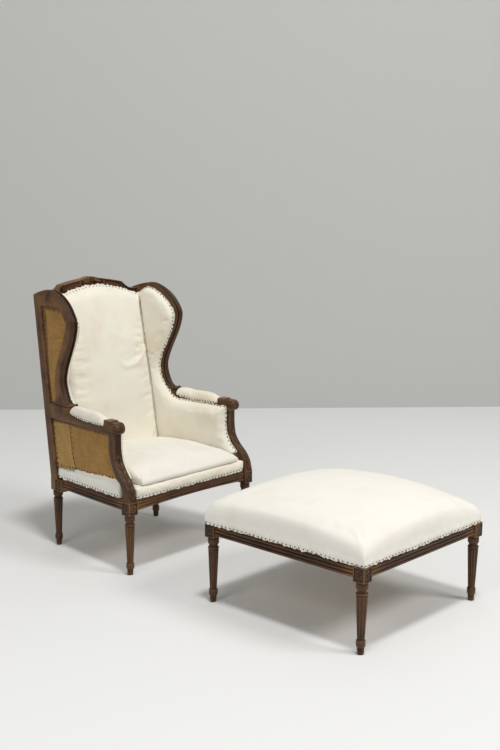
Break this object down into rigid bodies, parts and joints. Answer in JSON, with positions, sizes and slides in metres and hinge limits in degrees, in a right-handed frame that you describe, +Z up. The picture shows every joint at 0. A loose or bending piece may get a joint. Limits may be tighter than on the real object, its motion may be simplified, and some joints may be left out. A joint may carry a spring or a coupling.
{
  "type": "wing armchair with footstool",
  "caption": "Wing armchair with a carved and turned wood frame, calico upholstery and open hessian sides, with a matching square domed footstool.",
  "frame": {"origin": "on the floor, midway between the back of the crest rail and the front of the footstool, on the chair's centre line", "axes": "+X to the viewer's right when facing the chair's front, +Y from the footstool towards the back of the chair, +Z up"},
  "size_m": [0.7166, 1.7232, 1.076],
  "materials": {
    "walnut_wood": "stained and rubbed, low sheen",
    "beech_wood": "bare, sawn",
    "hessian": "coarse golden brown jute weave",
    "webbing": "jute straps, crossed",
    "calico": "cream undercover cotton, matt"
  },
  "bodies": {
    "chair": {"arm_pad_left": "calico", "arm_pad_right": "calico", "arm_post_left": "walnut_wood", "arm_post_right": "walnut_wood", "arm_rail_left": "walnut_wood", "arm_rail_right": "walnut_wood", "arm_tack_rail_left": "beech_wood", "arm_tack_rail_right": "beech_wood", "crest_rail": "walnut_wood", "front_brace_left": "beech_wood", "front_brace_right": "beech_wood", "front_leg_left": "walnut_wood", "front_leg_right": "walnut_wood", "front_seat_rail": "walnut_wood", "inside_back": "calico", "inside_wing_and_arm_left": "calico", "inside_wing_and_arm_right": "calico", "lower_back_rail": "beech_wood", "outside_arm_hessian_left": "hessian", "outside_arm_hessian_right": "hessian", "outside_back_hessian": "hessian", "outside_wing_hessian_left": "hessian", "outside_wing_hessian_right": "hessian", "rear_brace_left": "beech_wood", "rear_brace_right": "beech_wood", "rear_leg_left": "walnut_wood", "rear_leg_right": "walnut_wood", "rear_seat_rail": "walnut_wood", "seat_base": "calico", "seat_border_left": "calico", "seat_border_right": "calico", "seat_top": "calico", "seat_webbing": "webbing", "side_seat_rail_left": "walnut_wood", "side_seat_rail_right": "walnut_wood", "stuffing_upright_left": "beech_wood", "stuffing_upright_right": "beech_wood", "wing_front_left": "walnut_wood", "wing_front_right": "walnut_wood", "wing_top_left": "walnut_wood", "wing_top_right": "walnut_wood"},
    "footstool": {"footstool_brace_front_left": "beech_wood", "footstool_brace_front_right": "beech_wood", "footstool_brace_rear_left": "beech_wood", "footstool_brace_rear_right": "beech_wood", "footstool_leg_front_left": "walnut_wood", "footstool_leg_front_right": "walnut_wood", "footstool_leg_rear_left": "walnut_wood", "footstool_leg_rear_right": "walnut_wood", "footstool_pad": "calico", "footstool_rail_front": "walnut_wood", "footstool_rail_left": "walnut_wood", "footstool_rail_rear": "walnut_wood", "footstool_rail_right": "walnut_wood", "footstool_webbing": "webbing"}
  },
  "joints": [
    {"name": "footstool_slide", "type": "slide", "parent": "chair", "child": "footstool", "axis": [0, 1, 0], "range_m": [-0.3, 0.34]}
  ]
}
